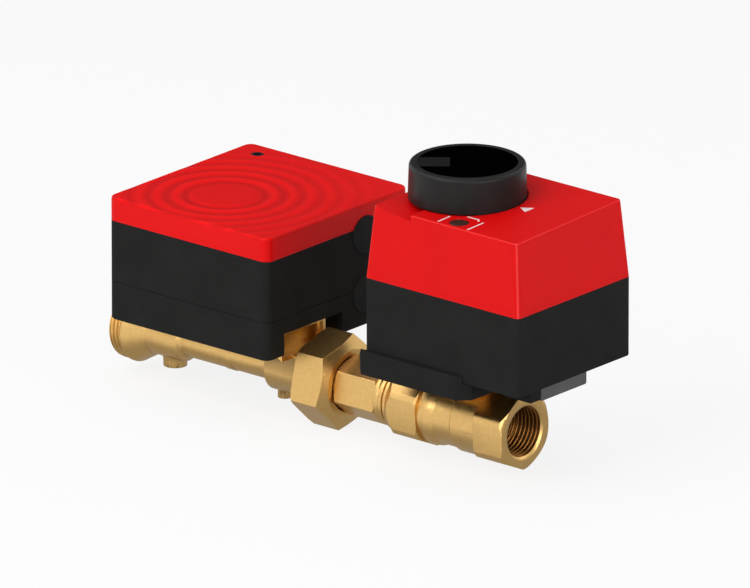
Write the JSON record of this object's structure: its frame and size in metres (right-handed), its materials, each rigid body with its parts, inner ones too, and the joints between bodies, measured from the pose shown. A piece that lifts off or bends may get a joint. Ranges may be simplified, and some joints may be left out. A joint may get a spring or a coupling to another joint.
{
  "type": "motorized valve",
  "caption": "In-line ball control valve with a rotary actuator, hand knob and a flow-sensor tube carrying its own electronics housing.",
  "frame": {"origin": "on the pipe axis at the end face of the outlet, 1 mm outside the first crest of its thread", "axes": "+X along the pipe in the direction of flow, out of the outlet; +Z along the stem towards the hand knob; +Y away from the front"},
  "size_m": [0.2152, 0.0878, 0.1174],
  "materials": {
    "brass": "satin, forged and machined",
    "black_plastic": "fine moulded texture",
    "red_plastic": "satin moulded",
    "black_gloss": "polished",
    "pointer_grey": "matt",
    "grey_plastic": "satin moulded",
    "white_plastic": "machined",
    "gear_plastic": "moulded",
    "steel": "bright",
    "rubber": "matt",
    "board_green": "lacquered",
    "terminal_green": "moulded"
  },
  "bodies": {
    "root": {"sensor_tube": "brass", "transducers": "steel", "temperature_probe": "steel", "housing_base": "black_plastic", "base_screws": "steel", "base_seal": "rubber", "housing_body": "black_plastic", "lid_seal": "rubber", "housing_lid": "red_plastic", "lid_screw": "steel", "cable_plug_upper": "rubber", "cable_plug_lower": "rubber", "sensor_board": "board_green", "board_screws": "steel", "terminal_blocks": "terminal_green", "union_nut": "brass", "union_gasket": "rubber", "union_sleeve": "brass", "hex_nipple": "brass", "end_piece": "brass", "flow_disc": "steel", "seat_inlet": "white_plastic", "seat_outlet": "white_plastic", "valve_body": "brass", "adapter_plate": "black_plastic", "adapter_screws": "steel", "actuator_base": "black_plastic", "cable_block": "grey_plastic", "gear_axles": "steel", "gear_plate": "steel", "motor": "steel", "motor_screws": "steel", "board_standoffs": "steel", "actuator_board": "board_green", "actuator_board_screws": "steel", "actuator_cap": "red_plastic", "cap_screws": "steel", "button_spring": "steel"},
    "drive": {"ball": "brass", "stem": "brass", "stem_seals": "rubber", "output_hub": "steel", "output_gear": "gear_plastic", "knob": "black_plastic", "knob_disc": "black_gloss", "knob_pointer": "pointer_grey"},
    "second_gear": {"second_gear": "gear_plastic"},
    "first_gear": {"first_gear": "gear_plastic"},
    "motor_pinion": {"motor_pinion": "steel"},
    "button": {"release_button": "black_plastic"}
  },
  "joints": [
    {"name": "valve_turn", "type": "hinge", "parent": "root", "child": "drive", "pos_m": [-0.0279, 0, 0], "axis": [0, 0, 1], "range_deg": [-40, 50]},
    {"name": "second_gear_spin", "type": "hinge", "parent": "root", "child": "second_gear", "pos_m": [-0.01263, 0.01527, 0.0405], "axis": [0, 0, 1], "range_deg": [-250, 200]},
    {"name": "first_gear_spin", "type": "hinge", "parent": "root", "child": "first_gear", "pos_m": [0.00091, 0.01035, 0.0405], "axis": [0, 0, 1], "range_deg": [-600, 750]},
    {"name": "motor_spin", "type": "hinge", "parent": "root", "child": "motor_pinion", "pos_m": [-0.0016, -0.00383, 0.0405], "axis": [0, 0, 1], "range_deg": [-2250, 1800]},
    {"name": "button_press", "type": "slide", "parent": "root", "child": "button", "axis": [0, 0, -1], "range_m": [0, 0.002], "stiffness_N_per_m": 300, "deforming": ["button_spring"]}
  ],
  "couplings": [
    {"joint": "second_gear_spin", "follows": "valve_turn", "ratio": -5},
    {"joint": "first_gear_spin", "follows": "valve_turn", "ratio": 15},
    {"joint": "motor_spin", "follows": "valve_turn", "ratio": -45}
  ]
}
